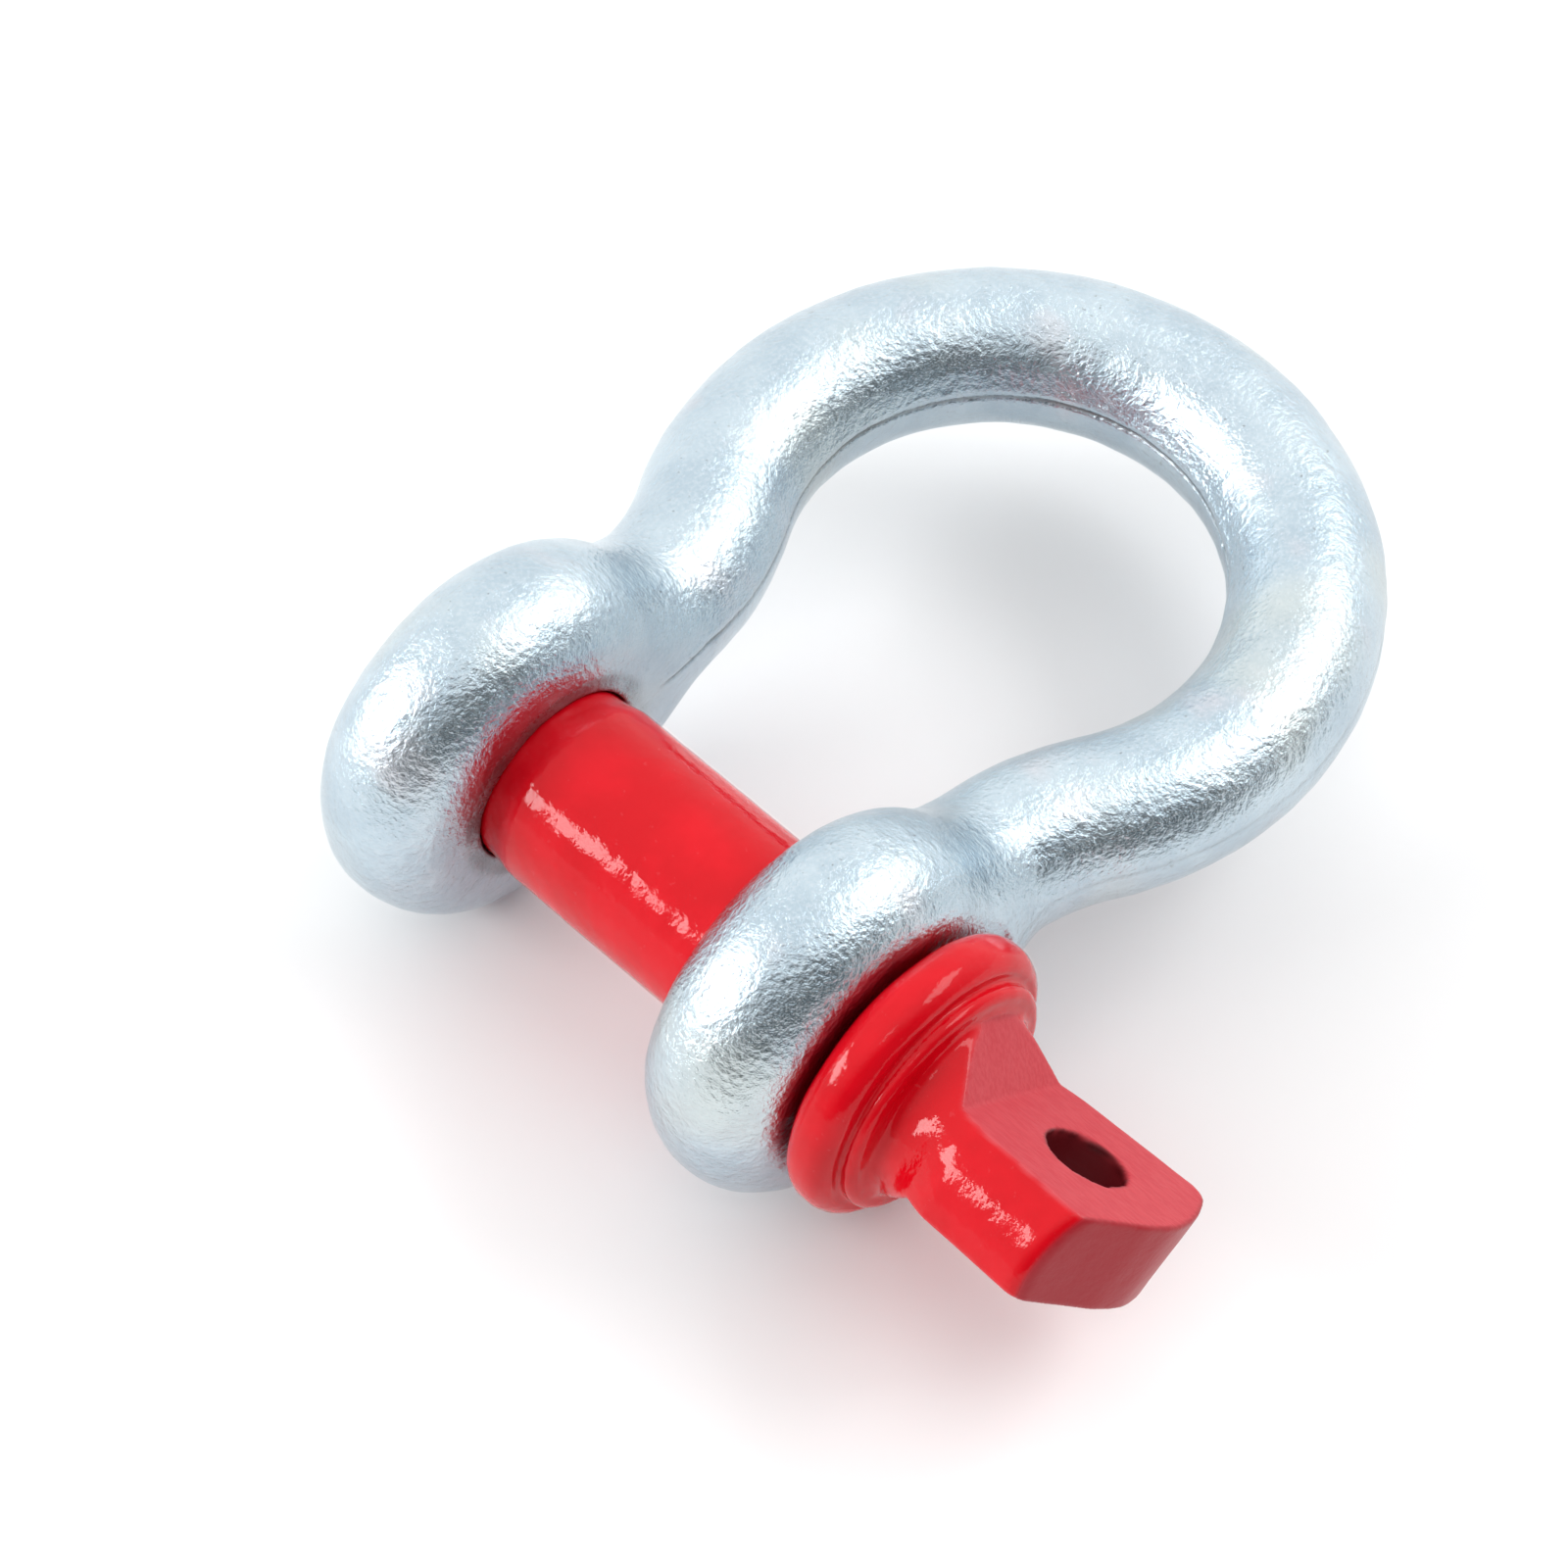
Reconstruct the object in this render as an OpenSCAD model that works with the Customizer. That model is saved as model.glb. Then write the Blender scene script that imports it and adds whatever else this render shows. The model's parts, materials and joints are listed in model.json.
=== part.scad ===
// Screw pin bow shackle: a forged bow with two eyes, and the screw pin that closes it.
// The pin's axis is X, with the collar towards +X. The crown of the bow is towards +Y.
// The bow lies in the plane z = 0. The origin is on the pin's axis, midway between the eyes.

/* [Bow] */
// Overall length, from the edge of the eyes to the outside of the crown
overall_l = 83.5; // [80:0.1:88]
// Diameter of the round bar that the bow is forged from
bar_d = 12.6; // [11.6:0.1:12.6]
// Clear gap between the two eyes
jaw_w = 21.6; // [20.6:0.1:24]
// Widest inside width of the bow
bow_inside_w = 34.2; // [33:0.1:37]
// Centreline radius of the outward bend above each eye
neck_bend_r = 21.5; // [19:0.5:26]

/* [Eyes] */
// Outside diameter of each eye
eye_d = 32; // [30.5:0.1:34]
// Thickness of each eye along the pin
eye_t = 13; // [13:0.1:14]
// Radius that rounds the rim of each eye
eye_rim_r = 6.3; // [5:0.1:6.3]
// Diameter of the plain hole, in the eye on the collar's side
plain_hole_d = 16.6; // [16.4:0.1:17.2]
// Chamfer at the mouths of both holes
hole_chamfer = 0.6; // [0.3:0.1:1]

/* [Screw pin] */
// Diameter of the pin's plain shank
shank_d = 15.9; // [15.5:0.1:16.1]
// Outside diameter of the pin's thread
thread_d = 15.2; // [14.4:0.1:15.3]
// Distance from one thread turn to the next
thread_pitch = 2; // [1.75:0.25:2.5]
// Overall length of the closed shackle along the pin
overall_w = 73; // [71:0.1:75]
// Diameter of the collar
collar_d = 24.2; // [23.8:0.1:25]
// Thickness of the collar
collar_t = 4.4; // [4:0.1:4.8]

/* [Tang] */
// Diameter of the tang's round sides, where they leave the collar's ring
neck_d = 16.6; // [15.6:0.1:17]
// Diameter of the tang's round sides, at its end
tang_end_d = 19.8; // [18:0.1:20.4]
// Radius of the tang's rounded end, across the flats
end_round_r = 14.8; // [12:0.1:20]
// Thickness of the tang, from flat to flat
tang_t = 8; // [7:0.1:9]
// Length of the two flats
flat_l = 15.6; // [14.8:0.1:16]
// Slope of the run-out from each flat up to the neck, in degrees
runout_angle = 46; // [40:1:50]
// Turn of the flats about the pin's axis, in degrees
tang_turn = -40; // [-60:1:0]
// Diameter of the hole for the locking wire
wire_hole_d = 6.6; // [4:0.1:7]
// Distance from the tang's end to the wire hole's axis
wire_hole_inset = 8.4; // [7.4:0.1:9]

/* [Hidden] */
ZINC = [0.72, 0.76, 0.80];
RED_PAINT = [0.80, 0.05, 0.07];
$fn = 48;

// The bar is a little thicker at the neck bends, and the leg and crown run into them by the lap
leg_d = bar_d + 0.1;
neck_bar_d = bar_d + 0.2;
lap = 0.6;
// The bar's inner side stands this far behind the eye's inner face
leg_inset = 0.15;
leg_x = jaw_w / 2 + leg_d / 2 + leg_inset;
crown_r = (bow_inside_w + bar_d) / 2;
crown_y = overall_l - eye_d / 2 - bar_d / 2 - crown_r;
// The neck bend and the crown touch, so their centres are the sum of their radii apart
centre_gap = neck_bend_r + crown_r;
bend_angle = acos((leg_x + neck_bend_r) / centre_gap);
neck_y = crown_y - centre_gap * sin(bend_angle);

eye_x0 = jaw_w / 2;
eye_x1 = jaw_w / 2 + eye_t;

thread_depth = 0.55 * thread_pitch;
// Corners of one thread ridge, as fractions of the pitch
ridge_corners = [0.06, 0.44, 0.56, 0.94];
// The slide stands in for screwing, so the hole's thread clears the pin's thread by this much
thread_clearance = 0.08;
thread_end_chamfer = 1;
tip_bevel = 0.4;
// Relief between the thread and the shoulder of the shank
relief_l = 1.2;
shoulder_r = 1.2;
shoulder_x = -eye_x0 + 0.3;
tip_x = -eye_x1;
end_x = overall_w - eye_x1;

collar_gap = 0.15;
collar_x0 = eye_x1 + collar_gap;
collar_x1 = collar_x0 + collar_t;
collar_inner_round = 0.8;
collar_outer_round = 2;
// The collar's outer rounding ends here, in the groove beside the ring
collar_round_end = 80;
ring_d = 20.2;
ring_t = 1.2;
ring_groove = 0.5;
ring_slope = 0.2;
ring_bevel = 0.4;
ring_x = collar_x1 + ring_t;
ring_fillet_r = 1.2;
end_bevel = 0.7;
flat_x0 = end_x - flat_l;
// The end's arc is carried past the tang's sides by this angle
end_reach_spare = 4;
// The sloped run-out stops just short of the ring
runout_x0 = ring_x + 0.3;
wire_hole_x = end_x - wire_hole_inset;
// Number of steps in each rounded edge of a turned outline
round_steps = 10;
spare = 5;

// Points on an arc of radius r about (cx, cy), from angle a0 to angle a1
function arc(cx, cy, r, a0, a1) =
    [for (i = [0 : round_steps]) let (a = a0 + (a1 - a0) * i / round_steps) [cx + r * cos(a), cy + r * sin(a)]];

// Outline points of a thread's ridges from x0 to x1, between radii low and high, as [radius, x]
function thread_ridges(x0, x1, low, high) =
    let (turns = floor((x1 - x0) / thread_pitch))
    [for (i = [0 : turns - 1], corner = [0 : 3])
        let (start = x0 + i * thread_pitch)
        [corner == 1 || corner == 2 ? high : low,
         start + thread_pitch * ridge_corners[corner]]];

// Turns an outline given as [radius, x] about the pin's axis
module turned(outline) {
    rotate([0, 90, 0]) rotate_extrude() polygon(outline);
}

// Round bar of one bend in the plane z = 0, about the origin, from angle a0 through angle turn
module bent_bar(bend_r, d, a0, turn) {
    rotate([0, 0, a0]) rotate_extrude(angle = turn) translate([bend_r, 0]) circle(d = d);
}

// Leg on the side of +X: straight out of the eye, then bent outwards
module leg() {
    translate([leg_x, 0, 0]) rotate([-90, 0, 0]) cylinder(d = leg_d, h = neck_y + lap);
    translate([leg_x + neck_bend_r, neck_y, 0])
        bent_bar(neck_bend_r, neck_bar_d, 180 - bend_angle, bend_angle);
}

// Crown, from one neck bend round to the other
module crown() {
    lap_angle = lap / crown_r * 180 / PI;
    translate([0, crown_y, 0])
        bent_bar(crown_r, bar_d, -bend_angle - lap_angle, 180 + 2 * (bend_angle + lap_angle));
}

// Thick eye with a rounded rim, on the side of +X
module eye() {
    core_r = eye_d / 2 - eye_rim_r;
    turned(concat(
        [[0, eye_x0]],
        arc(core_r, eye_x0 + eye_rim_r, eye_rim_r, -90, 0),
        arc(core_r, eye_x1 - eye_rim_r, eye_rim_r, 0, 90),
        [[0, eye_x1]]));
}

// Plain hole with chamfered mouths, to be cut from the eye on the side of +X
module plain_hole() {
    r = plain_hole_d / 2;
    wide = r + hole_chamfer + spare;
    turned([
        [0, eye_x0 - spare],
        [wide, eye_x0 - spare],
        [r, eye_x0 + hole_chamfer],
        [r, eye_x1 - hole_chamfer],
        [wide, eye_x1 + spare],
        [0, eye_x1 + spare]]);
}

// Threaded hole with chamfered mouths, to be cut from the eye on the side of -X
module threaded_hole() {
    crest_r = thread_d / 2 + thread_clearance;
    root_r = crest_r + thread_depth;
    wide = crest_r + thread_depth + spare;
    turned(concat(
        [[0, -eye_x1 - spare], [wide, -eye_x1 - spare], [crest_r, -eye_x1 + thread_depth]],
        thread_ridges(-eye_x1 + thread_depth, -eye_x0 - thread_depth, crest_r, root_r),
        [[crest_r, -eye_x0 - thread_depth], [wide, -eye_x0 + spare], [0, -eye_x0 + spare]]));
}

module bow() {
    color(ZINC) difference() {
        union() {
            crown();
            leg();
            mirror([1, 0, 0]) leg();
            eye();
            mirror([1, 0, 0]) eye();
        }
        plain_hole();
        threaded_hole();
    }
}

// Thread, shank, collar, ring, neck and tang, turned as one bar
module pin_blank() {
    thread_r = thread_d / 2;
    root_r = thread_r - thread_depth;
    thread_x0 = tip_x + thread_end_chamfer;
    thread_x1 = shoulder_x - relief_l;
    shank_r = shank_d / 2;
    collar_r = collar_d / 2;
    ring_r = ring_d / 2;
    neck_r = neck_d / 2;
    turned(concat(
        [[0, tip_x], [root_r - tip_bevel, tip_x], [root_r, thread_x0]],
        thread_ridges(thread_x0, thread_x1, root_r, thread_r),
        [[root_r, shoulder_x]],
        arc(shank_r - shoulder_r, shoulder_x + shoulder_r, shoulder_r, -90, 0),
        [[shank_r, collar_x0]],
        arc(collar_r - collar_inner_round, collar_x0 + collar_inner_round, collar_inner_round, -90, 0),
        arc(collar_r - collar_outer_round, collar_x1 - collar_outer_round, collar_outer_round,
            0, collar_round_end),
        [[ring_r, collar_x1 - ring_groove],
         [ring_r - ring_slope, ring_x - ring_bevel],
         [ring_r - ring_slope - ring_bevel, ring_x]],
        arc(neck_r + ring_fillet_r, ring_x + ring_fillet_r, ring_fillet_r, 270, 180),
        [[tang_end_d / 2, end_x - end_bevel],
         [tang_end_d / 2 - end_bevel, end_x],
         [0, end_x]]));
}

// Space above one flat of the tang, with its sloped run-out
module flat_cut() {
    half_t = tang_t / 2;
    top = tang_end_d / 2 + spare;
    runout_top = half_t + (flat_x0 - runout_x0) * tan(runout_angle);
    rotate([90, 0, 0]) linear_extrude(height = tang_end_d + 2 * spare, center = true) polygon([
        [flat_x0, half_t],
        [end_x + spare, half_t],
        [end_x + spare, top],
        [runout_x0, top],
        [runout_x0, runout_top]]);
}

// Space beyond the rounded end of the tang
module end_cut() {
    side = tang_end_d / 2 + spare;
    reach = asin(tang_end_d / 2 / end_round_r) + end_reach_spare;
    linear_extrude(height = tang_end_d + 2 * spare, center = true) polygon(concat(
        [[end_x + spare, -side], [end_x + spare, side], [end_x - end_round_r * (1 - cos(reach)), side]],
        arc(end_x - end_round_r, 0, end_round_r, reach, -reach),
        [[end_x - end_round_r * (1 - cos(reach)), -side]]));
}

module screw_pin() {
    color(RED_PAINT) difference() {
        pin_blank();
        rotate([tang_turn, 0, 0]) {
            flat_cut();
            mirror([0, 0, 1]) flat_cut();
            end_cut();
            translate([wire_hole_x, 0, 0]) cylinder(d = wire_hole_d, h = tang_end_d + spare, center = true);
        }
    }
}

bow();
screw_pin();
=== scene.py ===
# A screw-pin bow shackle: a bright zinc bow and a red painted screw pin, on a pale floor.
import json
import math

import bpy
import numpy as np
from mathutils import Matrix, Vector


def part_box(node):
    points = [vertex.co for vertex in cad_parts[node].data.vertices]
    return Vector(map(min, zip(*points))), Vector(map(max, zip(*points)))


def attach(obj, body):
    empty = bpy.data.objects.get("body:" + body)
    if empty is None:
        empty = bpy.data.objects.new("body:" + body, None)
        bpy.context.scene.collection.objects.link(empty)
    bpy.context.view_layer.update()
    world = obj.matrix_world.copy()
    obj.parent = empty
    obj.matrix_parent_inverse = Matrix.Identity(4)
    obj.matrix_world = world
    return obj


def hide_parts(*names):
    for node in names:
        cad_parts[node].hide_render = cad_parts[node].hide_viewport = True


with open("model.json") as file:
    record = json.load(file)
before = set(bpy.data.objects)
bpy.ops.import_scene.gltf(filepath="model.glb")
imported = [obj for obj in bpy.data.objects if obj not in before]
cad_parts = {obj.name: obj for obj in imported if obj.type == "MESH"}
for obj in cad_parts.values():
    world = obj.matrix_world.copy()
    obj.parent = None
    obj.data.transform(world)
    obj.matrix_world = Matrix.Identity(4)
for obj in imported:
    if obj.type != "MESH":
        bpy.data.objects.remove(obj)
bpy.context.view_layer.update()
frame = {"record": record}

import openvdb
from mathutils import Matrix, Vector

MM = 0.001

# ---- Sizes in millimetres. The outer ones are the CAD nodes' own boxes. ----
BOW_BOX = [[v / MM for v in corner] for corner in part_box("bow")]
PIN_BOX = [[v / MM for v in corner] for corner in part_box("screw_pin")]
MOUNTS = {m["name"]: m for m in frame["record"]["mounts"]}

EYE_R = BOW_BOX[1][2]            # outside radius of an eye
BOW_HALF = BOW_BOX[1][0]         # half the width of the bow at its widest
CROWN_TOP = BOW_BOX[1][1]
FLOOR_Z = BOW_BOX[0][2]
TIP = PIN_BOX[0][0]
END = PIN_BOX[1][0]
COLLAR_R = PIN_BOX[1][2]
SHANK_R = 7.95
HOLE_X = MOUNTS["wire_hole"]["pos_m"][0] / MM
HOLE_R = 3.3

BAR_R = 6.3
JAW = 10.8                       # half the gap between the eyes
EYE_T = 13.0                     # thickness of an eye
EYE_RIM = 6.3                    # rounding of an eye's rim
LEG_X = JAW + EYE_T / 2
NECK_R = 21.5                    # bend of the bar above each eye
CROWN_R = BOW_HALF - BAR_R
CROWN_Y = CROWN_TOP - BAR_R - CROWN_R
BEND = math.acos((LEG_X + NECK_R) / (NECK_R + CROWN_R))
NECK_Y = CROWN_Y - (NECK_R + CROWN_R) * math.sin(BEND)
PLAIN_R = 8.3                    # the plain hole
CREST_R = 7.68                   # the tapped hole at its crests
PITCH = 2.0                      # of the thread
DEPTH = 1.1
EYE_FILLET = 4.0                 # blend between an eye and the bar
FACE_EDGE = 0.8                  # rounding round an eye's flat faces
CREASE_Z, RIDGE_Z = 0.9, 1.6     # heights of the parting line's crease and ridge

TURN = math.radians(-40)         # turn of the tang's flats about the pin's axis
FLAT_X = 33.6                    # where the flats begin
UPPER_FLAT, LOWER_FLAT = 3.7, 4.3    # how far the two flats are from the pin's axis
RUNOUT = math.radians(46)        # slope from each flat up to the neck
COLLAR_X0, COLLAR_X1 = 23.9, 28.4
RING_X = 29.55                   # outer face of the narrow ring beside the collar
RING_R = 10.1
END_ROUND = 14.8                 # radius of the tang's rounded end
END_SLOPE = math.radians(22)     # lean of the face on one side of that end
GROOVE_X, GROOVE_R = 28.5, 10.3  # the groove between the collar and the ring
NECK_FILLET = 1.1                # blend between the ring and the tang
PAINT_END = -11.7                # the shank's painted end, just inside the tapped eye
THREAD_X0 = -12.6                # the thread rises from here to its full height 1 mm on
BARE_X = -11.75                  # faces beyond here are bare steel, and not painted
THREAD_GAP = 0.08                # between the pin's thread and the eye's

WAVE_COUNT = 14                  # sine waves summed for each irregular pattern
BAND = 3.0                       # fields are clipped at this distance


# ---- Distance fields, in millimetres: below zero is inside ----
def smin(a, b, k):
    h = np.maximum(k - np.abs(a - b), 0) / k
    return np.minimum(a, b) - h * h * k / 4


def smax(a, b, k):
    return -smin(-a, -b, k)


def ramp(v, a, b):
    t = np.clip((v - a) / (b - a), 0, 1)
    return t * t * (3 - 2 * t)


def waves(x, y, z, length, seed):
    """Smooth irregular waves of about that wavelength, from 0 to 1."""
    rng = np.random.default_rng(seed)
    total = 0
    for _ in range(WAVE_COUNT):
        d = rng.normal(size=3)
        d *= 2 * math.pi / (np.linalg.norm(d) * length * rng.uniform(0.7, 1.6))
        total = total + np.sin(d[0] * x + d[1] * y + d[2] * z + rng.uniform(0, 2 * math.pi))
    return np.clip(0.5 + total / (2.6 * math.sqrt(WAVE_COUNT)), 0, 1)


def rounded_rect(x, q, x0, x1, r, round_r):
    """A disc about the pin's axis from x0 to x1, its rim rounded."""
    dx = np.abs(x - (x0 + x1) / 2) - ((x1 - x0) / 2 - round_r)
    dq = q - (r - round_r)
    outside = np.hypot(np.maximum(dx, 0), np.maximum(dq, 0))
    return outside + np.minimum(np.maximum(dx, dq), 0) - round_r


def centreline_distance(side, y):
    """From the middle of the bar, in the bow's plane; both halves are alike."""
    end_x = CROWN_R * math.cos(BEND)
    end_y = CROWN_Y - CROWN_R * math.sin(BEND)
    angle = np.arctan2(y - CROWN_Y, side)
    on_crown = np.abs(np.hypot(side, y - CROWN_Y) - CROWN_R)
    crown = np.where(angle >= -BEND, on_crown, np.hypot(side - end_x, y - end_y))
    centre = LEG_X + NECK_R
    turn = np.arctan2(y - NECK_Y, centre - side)
    on_neck = np.abs(np.hypot(centre - side, y - NECK_Y) - NECK_R)
    neck = np.where((turn >= 0) & (turn <= BEND), on_neck, np.inf)
    leg = np.hypot(side - LEG_X, y - np.clip(y, 4.0, NECK_Y))
    return np.minimum(np.minimum(crown, neck), leg)


def screw_phase(x, y, z):
    return (x / PITCH - np.arctan2(z, y) / (2 * math.pi)) % 1.0


def parting_line(x, y, z):
    """The trimmed flash line: a crease, with a low ridge above it on the bow's inner side."""
    inner = (np.hypot(x, y - CROWN_Y) < CROWN_R) | ((np.abs(x) < LEG_X - 2) & (y < 25))
    crease = np.exp(-((z - CREASE_Z) / 0.2) ** 2)
    ridge = np.exp(-((z - RIDGE_Z) / 0.45) ** 2)
    uneven = 0.4 + 0.6 * waves(x, y, 0 * z, 9.0, 5)
    return np.where(inner, 0.24 * crease - 0.16 * ridge, 0.05 * crease) * uneven * ramp(y, 10, 13)


def bow_sdf(x, y, z):
    side = np.abs(x)
    q = np.hypot(y, z)
    bar = np.hypot(centreline_distance(side, y), z) - BAR_R
    eye = rounded_rect(side, q, JAW, JAW + EYE_T, EYE_R, EYE_RIM)
    f = smin(bar, eye, EYE_FILLET)
    # The eye's inner and outer faces cut the blend flat, and let go further out.
    f = smax(f, (JAW - side) - 2 * np.maximum(y - 17, 0), FACE_EDGE)
    f = smax(f, (side - JAW - EYE_T) - 2 * np.maximum(q - 12.5, 0), FACE_EDGE)
    forged = 0.10 * waves(x, y, z, 7.0, 1) + 0.05 * waves(x, y, z, 2.6, 2)
    f = f + forged + parting_line(x, y, z)
    # Both holes open out at the faces; the one at -X is tapped.
    face = np.minimum(side - JAW, JAW + EYE_T - side)
    groove = DEPTH * np.clip(1.25 - np.abs(screw_phase(x, y, z) - 0.5) * 5, 0, 1)
    groove = groove * ramp(face, 0.8, 1.6)
    plain = PLAIN_R + np.maximum(0.7 - face, 0)
    tapped = CREST_R + groove + np.maximum(0.25 - face, 0)
    return smax(f, np.where(x > 0, plain, tapped) - q, 0.3)


def tang_axes(y, z):
    """(along the flats, away from the flats) across the pin."""
    return y * math.cos(TURN) + z * math.sin(TURN), z * math.cos(TURN) - y * math.sin(TURN)


def pin_blank(x, y, z):
    """The pin before its flats are milled and its hole drilled."""
    q = np.hypot(y, z)
    drawn_in = 0.35 * (1 - ramp(x, -10.7, -8.2))
    shank = rounded_rect(x, q + drawn_in, PAINT_END, 26.0, SHANK_R, 0.4)
    core = CREST_R - THREAD_GAP - DEPTH
    ridge = DEPTH * np.clip(1.5 - np.abs(screw_phase(x, y, z) - 0.5) * 5, 0, 1)
    radius = core + ridge * np.clip(THREAD_X0 - x, 0, 1)
    radius = np.minimum(radius, core - 0.4 + (x - TIP) * 1.3)
    thread = np.maximum(np.maximum((q - radius) * 0.8, TIP - x), x + 9.0)
    f = np.minimum(shank, thread)
    collar = rounded_rect(x, q, COLLAR_X0, COLLAR_X1, COLLAR_R, 2.0)
    ring = rounded_rect(x, q, 25.0, RING_X, RING_R, 0.9)
    f = np.minimum(smin(f, collar, 0.4), ring)
    f = smax(f, 0.25 - np.hypot(x - GROOVE_X, q - GROOVE_R), 0.4)
    # The tang is round, widens past the neck and sits a little low between its flats.
    u, n = tang_axes(y, z)
    below = 1.1 * ramp(x, 30, 36)
    side_r = SHANK_R + 1.2 * ramp(x, 31.2, 36) + 0.06 * np.maximum(x - 35, 0)
    round_side = np.hypot(u, n + below) - side_r
    end = tang_end(x, u, n)
    bevel = (round_side + end + 0.7) * math.sqrt(0.5)
    tang = smax(smax(round_side, end, 0.3), smax(bevel, 27.0 - x, 0.3), 0.3)
    return smin(f, tang, NECK_FILLET)


def tang_end(x, u, n):
    """The tang's end: a face that slopes back to one side, and a round to the other."""
    x = x - 0.08 * n
    top = END - 0.3
    face = (x - top) * math.cos(END_SLOPE) - (u + 0.5) * math.sin(END_SLOPE)
    around = np.hypot(np.maximum(u, -1) - 0.8, np.maximum(x - (top - END_ROUND), 0)) - END_ROUND
    return smax(face, around, 0.8)


def pin_flats(x, y, z):
    """Above zero where the milling cutter takes the tang away."""
    n = tang_axes(y, z)[1]
    level = np.maximum(n - UPPER_FLAT, -n - LOWER_FLAT)
    slope = (level - (FLAT_X - x) * math.tan(RUNOUT)) * math.cos(RUNOUT)
    return np.minimum(smin(level, slope, 0.15), x - RING_X - 0.15)


def pin_sdf(x, y, z):
    uneven = 0.05 * waves(x, y, z, 6.0, 3) + 0.02 * waves(x, y, z, 2.2, 4)
    f = smax(pin_blank(x, y, z) + uneven, pin_flats(x, y, z), 0.3)
    u, n = tang_axes(y, z)
    ragged = 0.3 * (waves(x, y, z, 1.1, 6) - 0.5) * ramp(np.abs(n), 2.9, 3.5)
    return smax(f, HOLE_R + ragged - np.hypot(x - HOLE_X, u), 0.2)


# ---- Surfaces ----
def gradient(sdf, p, h=0.02):
    g = np.empty_like(p)
    for k in range(3):
        step = np.zeros(3)
        step[k] = h
        g[:, k] = sdf(*(p + step).T) - sdf(*(p - step).T)
    return g / (2 * h)


def axis_steps(lo, hi, step, fine=None):
    """Grid planes from lo to hi, closer together round 0 where fine is given."""
    planes = [lo - 2 * step]
    while planes[-1] < hi + 2 * step:
        near = fine if fine and abs(planes[-1]) < 1.4 else step
        planes.append(planes[-1] + near)
    return np.array(planes)


def surface(name, sdf, box, step, fine=None):
    """A mesh of the field's zero surface, its points moved exactly on to it."""
    axes = [axis_steps(box[0][k], box[1][k], step, fine if k == 2 else None) for k in range(3)]
    field = np.empty([len(a) for a in axes], dtype=np.float32)
    y, z = np.meshgrid(axes[1], axes[2], indexing="ij")
    for i, x in enumerate(axes[0]):
        field[i] = sdf(np.full_like(y, x), y, z)
    grid = openvdb.FloatGrid(background=BAND)
    grid.copyFromArray(np.clip(field, -BAND, BAND), tolerance=0)
    points, quads = grid.convertToQuads(isovalue=0.0)
    p = [np.interp(points[:, k], np.arange(len(axes[k])), axes[k]) for k in range(3)]
    p = np.stack(p, axis=1)
    for _ in range(3):
        g = gradient(sdf, p)
        move = g * (sdf(*p.T) / np.maximum((g * g).sum(axis=1), 0.25))[:, None]
        p -= np.clip(move, -0.15, 0.15)
    p = np.clip(p, box[0], box[1])
    mesh = bpy.data.meshes.new(name)
    mesh.from_pydata((p * MM).tolist(), [], quads[:, ::-1].tolist())
    mesh.validate()
    mesh.shade_smooth()
    piece = bpy.data.objects.new(name, mesh)
    bpy.context.scene.collection.objects.link(piece)
    return piece, p


def attribute(piece, name, values):
    data = piece.data.attributes.new(name, "FLOAT", "POINT").data
    data.foreach_set("value", np.clip(values, 0, 1).astype(np.float32))


# ---- Materials ----
class Nodes:
    """A material and short ways to add nodes to it."""

    def __init__(self, name):
        self.material = bpy.data.materials.new(name)
        self.material.use_nodes = True
        self.tree = self.material.node_tree
        self.shader = self.tree.nodes["Principled BSDF"]
        self.coords = self.tree.nodes.new("ShaderNodeTexCoord").outputs["Object"]

    def put(self, target, value):
        if isinstance(value, bpy.types.NodeSocket):
            self.tree.links.new(value, target)
        else:
            target.default_value = value

    def noise(self, size_mm, detail=3.0, roughness=0.55, stretch=None):
        node = self.tree.nodes.new("ShaderNodeTexNoise")
        node.inputs["Scale"].default_value = 1 / (size_mm * MM)
        node.inputs["Detail"].default_value = detail
        node.inputs["Roughness"].default_value = roughness
        self.put(node.inputs["Vector"], self.mapped(stretch))
        return node.outputs["Fac"]

    def mapped(self, stretch):
        if not stretch:
            return self.coords
        node = self.tree.nodes.new("ShaderNodeMapping")
        node.inputs["Scale"].default_value = stretch
        self.put(node.inputs["Vector"], self.coords)
        return node.outputs["Vector"]

    def cells(self, size_mm):
        node = self.tree.nodes.new("ShaderNodeTexVoronoi")
        node.inputs["Scale"].default_value = 1 / (size_mm * MM)
        self.put(node.inputs["Vector"], self.coords)
        return node.outputs["Distance"]

    def math(self, operation, a, b=0.0):
        node = self.tree.nodes.new("ShaderNodeMath")
        node.operation = operation
        self.put(node.inputs[0], a)
        self.put(node.inputs[1], b)
        return node.outputs[0]

    def span(self, value, a, b, to_a=0.0, to_b=1.0):
        node = self.tree.nodes.new("ShaderNodeMapRange")
        node.interpolation_type = "SMOOTHSTEP"
        for socket, v in zip(node.inputs[:5], (value, a, b, to_a, to_b)):
            self.put(socket, v)
        return node.outputs["Result"]

    def mix(self, factor, a, b):
        node = self.tree.nodes.new("ShaderNodeMix")
        node.data_type = "RGBA"
        self.put(node.inputs[0], factor)
        self.put(node.inputs[6], a)
        self.put(node.inputs[7], b)
        return node.outputs[2]

    def attribute(self, name):
        node = self.tree.nodes.new("ShaderNodeAttribute")
        node.attribute_name = name
        return node.outputs["Fac"]

    def bump(self, height, depth_mm, under=None):
        node = self.tree.nodes.new("ShaderNodeBump")
        node.inputs["Distance"].default_value = depth_mm * MM
        self.put(node.inputs["Height"], height)
        if under:
            self.put(node.inputs["Normal"], under)
        return node.outputs["Normal"]


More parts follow.
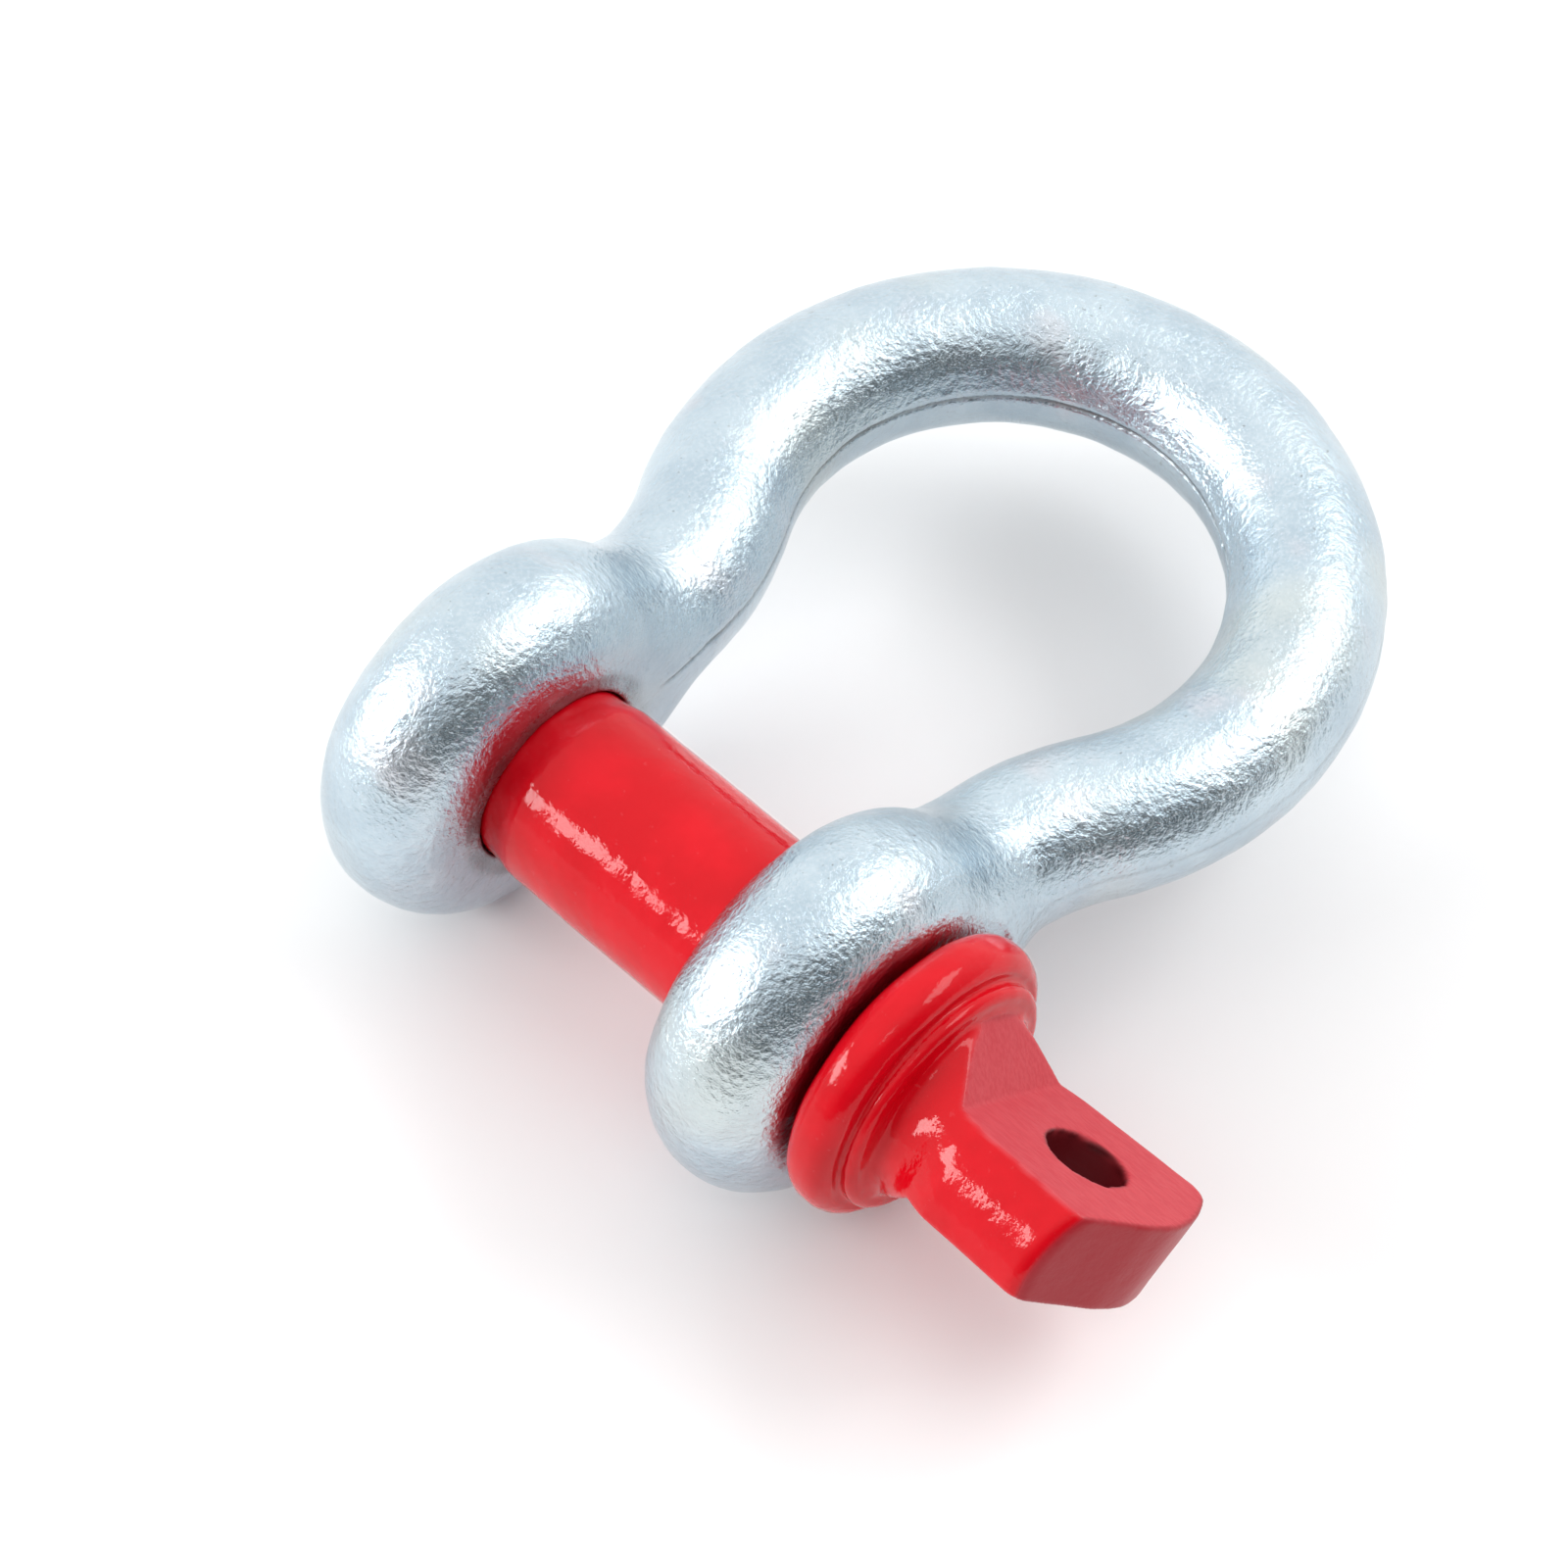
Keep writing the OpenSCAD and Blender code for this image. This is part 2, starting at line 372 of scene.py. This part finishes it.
def zinc_material():
    """Bright zinc over a forged skin: crinkled grain, streaks, specks and faint tints; painted
    shade in the parting line's crease, and a darker brown round the bores.
    """
    m = Nodes("zinc")
    grain = m.noise(0.36, detail=4, roughness=0.62)
    crinkle = m.noise(1.2, detail=4, roughness=0.6)
    facets = m.cells(0.6)
    patches = m.noise(7.0, detail=3)
    tint = m.noise(14.0, detail=1)
    blush = m.noise(10.0, detail=2, stretch=(1.0, 1.3, 0.8))
    specks = m.span(m.noise(0.6, detail=2), 0.70, 0.76)
    bore_brown_and_crease_shade = m.attribute("bore_brown_and_crease_shade")
    pale = m.mix(m.span(patches, 0.35, 0.65), (0.47, 0.575, 0.65, 1), (0.56, 0.665, 0.73, 1))
    pale = m.mix(m.span(grain, 0.4, 0.7, 0.0, 0.30), pale, (0.72, 0.79, 0.83, 1))
    pale = m.mix(m.span(tint, 0.55, 0.75, 0.0, 0.35), pale, (0.66, 0.66, 0.56, 1))
    pale = m.mix(m.span(blush, 0.58, 0.75, 0.0, 0.35), pale, (0.74, 0.66, 0.68, 1))
    pale = m.mix(m.math("MULTIPLY", specks, 0.5), pale, (0.22, 0.23, 0.24, 1))
    # Painted shade: the parting line's crease is painted dark brown; the same colour also darkens
    # the zinc round and inside the bores.
    pale = m.mix(m.math("MULTIPLY", bore_brown_and_crease_shade, 0.85), pale, (0.10, 0.065, 0.045, 1))
    m.put(m.shader.inputs["Base Color"], pale)
    m.shader.inputs["Metallic"].default_value = 1.0
    rough = m.span(grain, 0.3, 0.7, 0.12, 0.22)
    m.put(m.shader.inputs["Roughness"], m.math("ADD", rough, m.math("MULTIPLY", bore_brown_and_crease_shade, 0.3)))
    coarse = m.bump(m.math("ADD", crinkle, m.math("MULTIPLY", facets, 0.3)), 0.13)
    m.put(m.shader.inputs["Normal"], m.bump(grain, 0.10, under=coarse))
    return m.material


def paint_material():
    """Glossy red enamel; the milled flats are matt, paler and lined; the tang's end face and the
    inside of the wire hole are painted darker, as painted shade.
    """
    m = Nodes("red_paint")
    milled = m.attribute("milled")
    worn = m.attribute("worn")
    patches = m.noise(6.0, detail=3)
    specks = m.span(m.noise(0.7, detail=2), 0.68, 0.74)
    orange_peel = m.noise(1.6, detail=3)
    lines = m.noise(0.35, detail=3, stretch=(0.25, 1.0, 1.0))
    red = m.mix(m.span(patches, 0.35, 0.65), (0.59, 0.001, 0.007, 1), (0.67, 0.002, 0.010, 1))
    matt = m.mix(m.span(lines, 0.35, 0.65), (0.54, 0.035, 0.05, 1), (0.58, 0.05, 0.065, 1))
    colour = m.mix(milled, red, matt)
    colour = m.mix(m.math("MULTIPLY", worn, 0.5), colour, (0.62, 0.12, 0.14, 1))
    colour = m.mix(m.math("MULTIPLY", specks, 0.08), colour, (0.70, 0.18, 0.20, 1))
    # Painted shade: the tang's end face is painted a darker red.
    colour = m.mix(m.math("MULTIPLY", m.attribute("end"), 0.75), colour, (0.33, 0.012, 0.02, 1))
    # Painted shade: the inside of the wire hole is painted a very dark red.
    colour = m.mix(m.attribute("wire_hole_shade"), colour, (0.10, 0.002, 0.005, 1))
    m.put(m.shader.inputs["Base Color"], colour)
    m.shader.inputs["Specular IOR Level"].default_value = 0.25
    gloss = m.span(patches, 0.3, 0.7, 0.05, 0.10)
    m.put(m.shader.inputs["Roughness"], m.math("ADD", gloss, m.math("MULTIPLY", milled, 0.42)))
    ragged = m.bump(m.noise(0.6, detail=3), 0.012)
    peel = m.bump(orange_peel, 0.06, under=ragged)
    m.put(m.shader.inputs["Normal"], m.bump(m.math("MULTIPLY", lines, milled), 0.025, under=peel))
    return m.material


def thread_material():
    """Bare oiled steel, on the cut thread only."""
    m = Nodes("bare_thread")
    marks = m.noise(0.6, detail=3, stretch=(1.0, 0.2, 0.2))
    brown_darkening = m.noise(3.0, detail=3)
    steel = m.mix(m.span(marks, 0.3, 0.7), (0.22, 0.22, 0.23, 1), (0.42, 0.42, 0.43, 1))
    steel = m.mix(m.span(brown_darkening, 0.5, 0.8, 0, 0.5), steel, (0.16, 0.10, 0.07, 1))
    m.put(m.shader.inputs["Base Color"], steel)
    m.shader.inputs["Metallic"].default_value = 1.0
    m.put(m.shader.inputs["Roughness"], m.span(brown_darkening, 0.3, 0.7, 0.28, 0.5))
    m.put(m.shader.inputs["Normal"], m.bump(marks, 0.03))
    return m.material


def floor_material():
    m = Nodes("pale_floor")
    cloud = m.span(m.noise(60, detail=2), 0.3, 0.7)
    m.put(m.shader.inputs["Base Color"], m.mix(cloud, (0.91, 0.91, 0.91, 1), (0.93, 0.93, 0.93, 1)))
    m.shader.inputs["Roughness"].default_value = 0.9
    m.shader.inputs["Specular IOR Level"].default_value = 0.1
    return m.material


# ---- Pieces ----
def make_bow():
    piece, p = surface("forged_bow", bow_sdf, BOW_BOX, 0.32, fine=0.16)
    x, y, z = p.T
    q = np.hypot(y, z)
    face = np.minimum(np.abs(x) - JAW, JAW + EYE_T - np.abs(x))
    hole = 1 - ramp(q, PLAIN_R + 0.5, PLAIN_R + 1.6)
    # Darker brown round and inside the bores; painted shade in the parting line's crease is added
    # to it below.
    brown_darkening = hole * (0.35 + 0.65 * waves(x, y, z, 4.0, 11)) * ramp(face, -0.3, 0.6)
    attribute(piece, "bore_brown_and_crease_shade", brown_darkening + 4 * np.maximum(parting_line(x, y, z), 0))
    piece.data.materials.append(zinc_material())
    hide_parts("bow")
    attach(piece, "bow")


def make_pin():
    piece, p = surface("painted_screw_pin", pin_sdf, PIN_BOX, 0.24)
    x, y, z = p.T
    cut = pin_flats(x, y, z) - pin_blank(x, y, z)
    end = ramp(tang_end(x, *tang_axes(y, z)), -0.45, -0.2)
    attribute(piece, "milled", np.maximum(ramp(cut, -0.05, 0.15), 0.7 * end))
    # This end-face mask also paints the end face a darker red, as painted shade.
    attribute(piece, "end", end)
    # Painted shade for the inside of the wire hole.
    from_hole = np.hypot(x - HOLE_X, tang_axes(y, z)[0])
    attribute(piece, "wire_hole_shade", ramp(HOLE_R + 0.25 - from_hole, 0.0, 0.3))
    edge = (1 - ramp(np.abs(cut), 0.0, 0.35)) * ramp(x, 29, 31)
    attribute(piece, "worn", edge * waves(x, y, z, 1.6, 12))
    piece.data.materials.append(paint_material())
    piece.data.materials.append(thread_material())
    centres = np.empty(len(piece.data.polygons) * 3)
    piece.data.polygons.foreach_get("center", centres)
    piece.data.polygons.foreach_set("material_index", (centres[::3] < BARE_X * MM).astype(np.int32))
    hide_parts("screw_pin")
    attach(piece, "screw_pin")


# ---- Stage ----
WORLD_FAR = 1.2                  # the room's brightness behind the object
WORLD_NEAR = 0.9
DARK_AZIMUTH, DARK_ELEVATION = 66, 16
DARK_HALF_WIDTH, DARK_HALF_HEIGHT = 75, 40
DARKENING = 0.85


def direction(azimuth, elevation):
    """Towards a place round the object: azimuth 0 is -Y and 90 is +X."""
    a, e = math.radians(azimuth), math.radians(elevation)
    return Vector((math.sin(a) * math.cos(e), -math.cos(a) * math.cos(e), math.sin(e)))


def make_floor():
    size = 3.0
    mesh = bpy.data.meshes.new("floor")
    corners = [(-size, -size, 0), (size, -size, 0), (size, size, 0), (-size, size, 0)]
    mesh.from_pydata(corners, [], [(0, 1, 2, 3)])
    mesh.materials.append(floor_material())
    floor = bpy.data.objects.new("floor", mesh)
    floor.location.z = FLOOR_Z * MM
    bpy.context.scene.collection.objects.link(floor)


def make_light(name, azimuth, elevation, width_deg, height_deg, radiance):
    """A soft box at a direction and of an angular size, as seen from the object."""
    distance = 0.8
    centre = Vector((0.009, 0.026, 0))
    lamp = bpy.data.lights.new(name, "AREA")
    lamp.shape = "RECTANGLE"
    lamp.size = 2 * distance * math.tan(math.radians(width_deg / 2))
    lamp.size_y = 2 * distance * math.tan(math.radians(height_deg / 2))
    lamp.energy = radiance * math.pi * lamp.size * lamp.size_y
    light = bpy.data.objects.new(name, lamp)
    out = direction(azimuth, elevation)
    light.location = centre + out * distance
    light.rotation_euler = out.to_track_quat("Z", "Y").to_euler()
    light.visible_camera = False
    bpy.context.scene.collection.objects.link(light)


def make_world():
    """Pale all round, with a darker side below the camera."""
    world = bpy.data.worlds.new("studio")
    world.use_nodes = True
    bpy.context.scene.world = world
    tree = world.node_tree
    new, link = tree.nodes.new, tree.links.new
    ground = tree.nodes["Background"]
    coords = new("ShaderNodeTexCoord")

    def along(axis):
        dot = new("ShaderNodeVectorMath")
        dot.operation = "DOT_PRODUCT"
        dot.inputs[1].default_value = axis
        link(coords.outputs["Generated"], dot.inputs[0])
        return dot.outputs["Value"]

    def fade(value, a, b, to_a, to_b):
        node = new("ShaderNodeMapRange")
        node.interpolation_type = "SMOOTHSTEP"
        link(value, node.inputs["Value"])
        for name, v in zip(("From Min", "From Max", "To Min", "To Max"), (a, b, to_a, to_b)):
            node.inputs[name].default_value = v
        return node.outputs["Result"]

    def combine(operation, a, b):
        node = new("ShaderNodeMath")
        node.operation = operation
        for socket, v in zip(node.inputs, (a, b)):
            if isinstance(v, float):
                socket.default_value = v
            else:
                link(v, socket)
        return node.outputs[0]

    middle = direction(DARK_AZIMUTH, DARK_ELEVATION)
    sideways = Vector((0, 0, 1)).cross(middle).normalized()
    upwards = middle.cross(sideways)
    across = combine("DIVIDE", along(sideways), math.sin(math.radians(DARK_HALF_WIDTH)))
    rise = combine("DIVIDE", along(upwards), math.sin(math.radians(DARK_HALF_HEIGHT)))
    squares = [combine("MULTIPLY", v, v) for v in (across, rise)]
    spread = combine("SQRT", combine("ADD", *squares), 0.0)
    in_front = fade(along(middle), 0.0, 0.3, 0.0, 1.0)
    dark = combine("MULTIPLY", fade(spread, 0.6, 1.35, 1.0, 0.0), in_front)
    pale = fade(along(direction(-130, 10)), -1.0, 0.6, WORLD_NEAR, WORLD_FAR)
    kept = combine("SUBTRACT", 1.0, combine("MULTIPLY", dark, DARKENING))
    shade = combine("MULTIPLY", pale, kept)
    seen = new("ShaderNodeLightPath")
    either = new("ShaderNodeMath")
    either.operation = "MAXIMUM"
    link(seen.outputs["Is Camera Ray"], either.inputs[0])
    link(shade, either.inputs[1])
    link(either.outputs[0], ground.inputs["Strength"])
    ground.inputs["Color"].default_value = (1.0, 1.0, 1.0, 1)


def make_camera():
    distance = 0.39743
    roll = math.radians(2.407)
    target = Vector((0.001577, 0.011675, 0.0))
    out = direction(42.41, 55.11)
    right = (-out).cross(Vector((0, 0, 1))).normalized()
    up = right.cross(-out)
    tilted_right = right * math.cos(roll) + up * math.sin(roll)
    tilted_up = up * math.cos(roll) - right * math.sin(roll)
    camera = bpy.data.objects.new("camera", bpy.data.cameras.new("camera"))
    camera.data.lens = 121.07
    camera.data.sensor_width = 36.0
    turn = Matrix((tilted_right, tilted_up, out)).transposed()
    camera.matrix_world = Matrix.Translation(target + out * distance) @ turn.to_4x4()
    bpy.context.scene.collection.objects.link(camera)
    bpy.context.scene.camera = camera


make_bow()
make_pin()
make_floor()
make_light("back_soft_box", 149, 48, 38, 19, 4.5)
make_light("front_soft_box", -39, 25, 26, 13.5, 12.5)
make_light("top_soft_box", 50, 64, 14, 7, 3.0)
make_world()
make_camera()
bpy.context.scene.view_settings.view_transform = "Standard"
